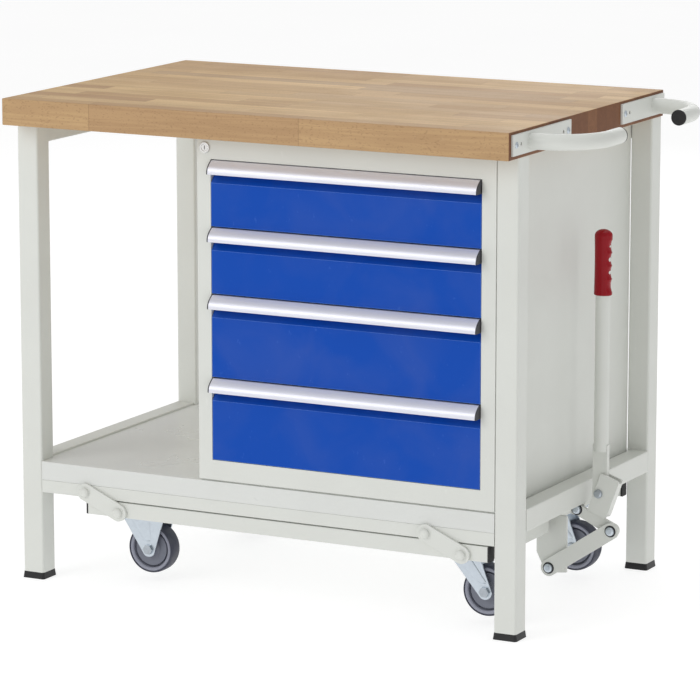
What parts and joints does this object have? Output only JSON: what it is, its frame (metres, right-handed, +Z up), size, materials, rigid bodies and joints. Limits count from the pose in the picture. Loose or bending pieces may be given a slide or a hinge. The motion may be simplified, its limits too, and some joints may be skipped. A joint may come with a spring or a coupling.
{
  "type": "workbench with drawers",
  "caption": "Steel-framed workbench with a beech top, a drawer cabinet beside an open shelf bay, push handles, and castors on a carriage that a hand lever lowers.",
  "frame": {"origin": "on the floor under the middle of the whole object's outline, push handles included", "axes": "+Z up, +X along the bench towards the push handles and lift lever, drawers open towards -Y"},
  "size_m": [1.1224, 0.66, 0.89],
  "materials": {
    "beech": "oiled, satin",
    "grey_paint": "powder coat, satin",
    "black_plastic": "matte",
    "zinc_steel": "bright zinc",
    "chrome_lock": "polished",
    "blue_paint": "powder coat, satin",
    "galvanised_steel": "zinc plated",
    "grip_aluminium": "anodised",
    "red_grip": "gloss",
    "wheel_rubber": "satin"
  },
  "bodies": {
    "frame": {"worktop": "beech", "leg_front_left": "grey_paint", "leg_front_right": "grey_paint", "leg_rear_left": "grey_paint", "leg_rear_right": "grey_paint", "leg_feet": "black_plastic", "upper_rails": "grey_paint", "lower_side_rails": "grey_paint", "shelf": "grey_paint", "fixed_rails": "grey_paint", "cabinet_shell": "grey_paint", "fixed_slide_members": "zinc_steel", "lock_housing": "chrome_lock", "push_handle_front": "grey_paint", "push_handle_rear": "grey_paint", "handle_end_caps": "black_plastic", "handle_screws": "zinc_steel", "crank_bracket": "grey_paint", "upper_pivot_bolts": "zinc_steel"},
    "link_front_left": {"link_front_left": "grey_paint"},
    "link_front_right": {"link_front_right": "grey_paint"},
    "link_rear_left": {"link_rear_left": "grey_paint"},
    "link_rear_right": {"link_rear_right": "grey_paint"},
    "carriage": {"carriage_frame": "grey_paint", "carriage_end_caps": "black_plastic", "castor_bolts": "zinc_steel", "fixed_castor_forks": "zinc_steel", "swivel_castor_heads": "zinc_steel", "push_strut": "grey_paint", "strut_bracket": "grey_paint", "lower_pivot_bolts": "zinc_steel"},
    "lever_crank": {"lever_crank": "grey_paint", "lever_bolt": "zinc_steel"},
    "hand_lever": {"hand_lever": "grey_paint", "lever_grip": "red_grip"},
    "swivel_fork_front": {"swivel_fork_front": "zinc_steel", "swivel_axle_front": "zinc_steel"},
    "swivel_fork_rear": {"swivel_fork_rear": "zinc_steel", "swivel_axle_rear": "zinc_steel"},
    "lock_cylinder": {"lock_cylinder": "chrome_lock"},
    "wheel_front_left": {"wheel_front_left": "wheel_rubber"},
    "wheel_front_right": {"wheel_front_right": "wheel_rubber"},
    "wheel_rear_left": {"wheel_rear_left": "wheel_rubber"},
    "wheel_rear_right": {"wheel_rear_right": "wheel_rubber"},
    "drawer_1": {"drawer_1_box": "galvanised_steel", "drawer_1_front": "blue_paint", "drawer_1_grip": "grip_aluminium"},
    "slide_1": {"slide_middle_1": "galvanised_steel"},
    "drawer_2": {"drawer_2_box": "galvanised_steel", "drawer_2_front": "blue_paint", "drawer_2_grip": "grip_aluminium"},
    "slide_2": {"slide_middle_2": "galvanised_steel"},
    "drawer_3": {"drawer_3_box": "galvanised_steel", "drawer_3_front": "blue_paint", "drawer_3_grip": "grip_aluminium"},
    "slide_3": {"slide_middle_3": "galvanised_steel"},
    "drawer_4": {"drawer_4_box": "galvanised_steel", "drawer_4_front": "blue_paint", "drawer_4_grip": "grip_aluminium"},
    "slide_4": {"slide_middle_4": "galvanised_steel"}
  },
  "joints": [
    {"name": "carriage_lift", "type": "hinge", "parent": "frame", "child": "link_front_left", "pos_m": [-0.42325, -0.287, 0.175], "axis": [0, 1, 0], "range_deg": [0, 70]},
    {"name": "link_front_right_turn", "type": "hinge", "parent": "frame", "child": "link_front_right", "pos_m": [0.26475, -0.287, 0.175], "axis": [0, 1, 0], "range_deg": [0, 70]},
    {"name": "link_rear_left_turn", "type": "hinge", "parent": "frame", "child": "link_rear_left", "pos_m": [-0.42325, 0.311, 0.175], "axis": [0, 1, 0], "range_deg": [0, 70]},
    {"name": "link_rear_right_turn", "type": "hinge", "parent": "frame", "child": "link_rear_right", "pos_m": [0.26475, 0.311, 0.175], "axis": [0, 1, 0], "range_deg": [0, 70]},
    {"name": "carriage_hang", "type": "hinge", "parent": "link_front_left", "child": "carriage", "pos_m": [-0.35425, -0.287, 0.144], "axis": [0, 1, 0], "range_deg": [-70, 0]},
    {"name": "crank_turn", "type": "hinge", "parent": "frame", "child": "lever_crank", "pos_m": [0.42575, -0.003, 0.176], "axis": [0, 1, 0], "range_deg": [0, 70]},
    {"name": "lever_fold", "type": "hinge", "parent": "lever_crank", "child": "hand_lever", "pos_m": [0.46875, 0, 0.2095], "axis": [0, 1, 0], "range_deg": [0, 20]},
    {"name": "swivel_front", "type": "hinge", "parent": "carriage", "child": "swivel_fork_front", "pos_m": [0.30475, -0.185, 0.12], "axis": [0, 0, 1], "continuous": true},
    {"name": "wheel_front_right_spin", "type": "hinge", "parent": "swivel_fork_front", "child": "wheel_front_right", "pos_m": [0.34075, -0.185, 0.06], "axis": [0, 1, 0], "continuous": true},
    {"name": "wheel_front_left_spin", "type": "hinge", "parent": "carriage", "child": "wheel_front_left", "pos_m": [-0.33925, -0.185, 0.06], "axis": [0, 1, 0], "continuous": true},
    {"name": "swivel_rear", "type": "hinge", "parent": "carriage", "child": "swivel_fork_rear", "pos_m": [0.30475, 0.185, 0.12], "axis": [0, 0, 1], "continuous": true},
    {"name": "wheel_rear_right_spin", "type": "hinge", "parent": "swivel_fork_rear", "child": "wheel_rear_right", "pos_m": [0.34075, 0.185, 0.06], "axis": [0, 1, 0], "continuous": true},
    {"name": "wheel_rear_left_spin", "type": "hinge", "parent": "carriage", "child": "wheel_rear_left", "pos_m": [-0.33925, 0.185, 0.06], "axis": [0, 1, 0], "continuous": true},
    {"name": "drawer_1_slide", "type": "slide", "parent": "frame", "child": "drawer_1", "axis": [0, -1, 0], "range_m": [0, 0.46]},
    {"name": "slide_1_follow", "type": "slide", "parent": "frame", "child": "slide_1", "axis": [0, -1, 0], "range_m": [0, 0.23]},
    {"name": "drawer_2_slide", "type": "slide", "parent": "frame", "child": "drawer_2", "axis": [0, -1, 0], "range_m": [0, 0.46]},
    {"name": "slide_2_follow", "type": "slide", "parent": "frame", "child": "slide_2", "axis": [0, -1, 0], "range_m": [0, 0.23]},
    {"name": "drawer_3_slide", "type": "slide", "parent": "frame", "child": "drawer_3", "axis": [0, -1, 0], "range_m": [0, 0.46]},
    {"name": "slide_3_follow", "type": "slide", "parent": "frame", "child": "slide_3", "axis": [0, -1, 0], "range_m": [0, 0.23]},
    {"name": "drawer_4_slide", "type": "slide", "parent": "frame", "child": "drawer_4", "axis": [0, -1, 0], "range_m": [0, 0.46]},
    {"name": "slide_4_follow", "type": "slide", "parent": "frame", "child": "slide_4", "axis": [0, -1, 0], "range_m": [0, 0.23]},
    {"name": "lock_turn", "type": "hinge", "parent": "frame", "child": "lock_cylinder", "pos_m": [-0.17125, -0.284, 0.821], "axis": [0, 1, 0], "range_deg": [0, 90]}
  ],
  "couplings": [
    {"joint": "link_front_right_turn", "follows": "carriage_lift", "ratio": 1},
    {"joint": "link_rear_left_turn", "follows": "carriage_lift", "ratio": 1},
    {"joint": "link_rear_right_turn", "follows": "carriage_lift", "ratio": 1},
    {"joint": "carriage_hang", "follows": "carriage_lift", "ratio": -1},
    {"joint": "crank_turn", "follows": "carriage_lift", "ratio": 1},
    {"joint": "slide_1_follow", "follows": "drawer_1_slide", "ratio": 0.5},
    {"joint": "slide_2_follow", "follows": "drawer_2_slide", "ratio": 0.5},
    {"joint": "slide_3_follow", "follows": "drawer_3_slide", "ratio": 0.5},
    {"joint": "slide_4_follow", "follows": "drawer_4_slide", "ratio": 0.5}
  ]
}
